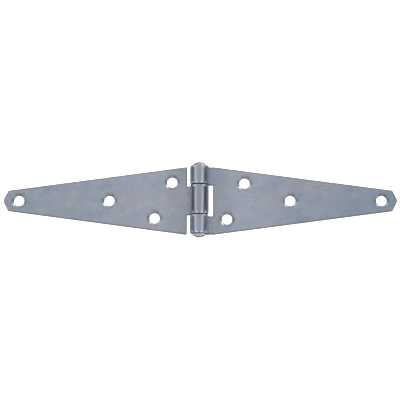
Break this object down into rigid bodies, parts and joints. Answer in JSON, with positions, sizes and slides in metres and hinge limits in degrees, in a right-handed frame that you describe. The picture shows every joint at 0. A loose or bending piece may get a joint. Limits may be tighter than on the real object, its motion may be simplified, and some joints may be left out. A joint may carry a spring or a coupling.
{
  "type": "strap hinge",
  "caption": "Light strap hinge: tapered steel straps with countersunk screw holes, rolled into knuckles that swing on a riveted pin.",
  "frame": {"origin": "on the plane of the leaves' backs, straight under the middle of the pin", "axes": "+X along the right leaf to its tip, with the left leaf along -X; +Y along the pin; +Z away from the mounting surface, towards the side on which the knuckles stand"},
  "size_m": [0.2032, 0.0392, 0.0097],
  "materials": {
    "left_leaf_zinc": "bright zinc plating with a bluish tint and rolling streaks",
    "right_leaf_zinc": "bright zinc plating with a bluish tint and rolling streaks",
    "pin_steel": "plain steel, warmer grey than the leaves, hammered heads"
  },
  "bodies": {
    "right_side": {"right_leaf": "right_leaf_zinc", "hinge_pin": "pin_steel"},
    "left_side": {"left_leaf": "left_leaf_zinc"}
  },
  "joints": [
    {"name": "leaf_swing", "type": "hinge", "parent": "right_side", "child": "left_side", "pos_m": [0, 0, 0.00485], "axis": [0, 1, 0], "range_deg": [-105, 183]}
  ]
}
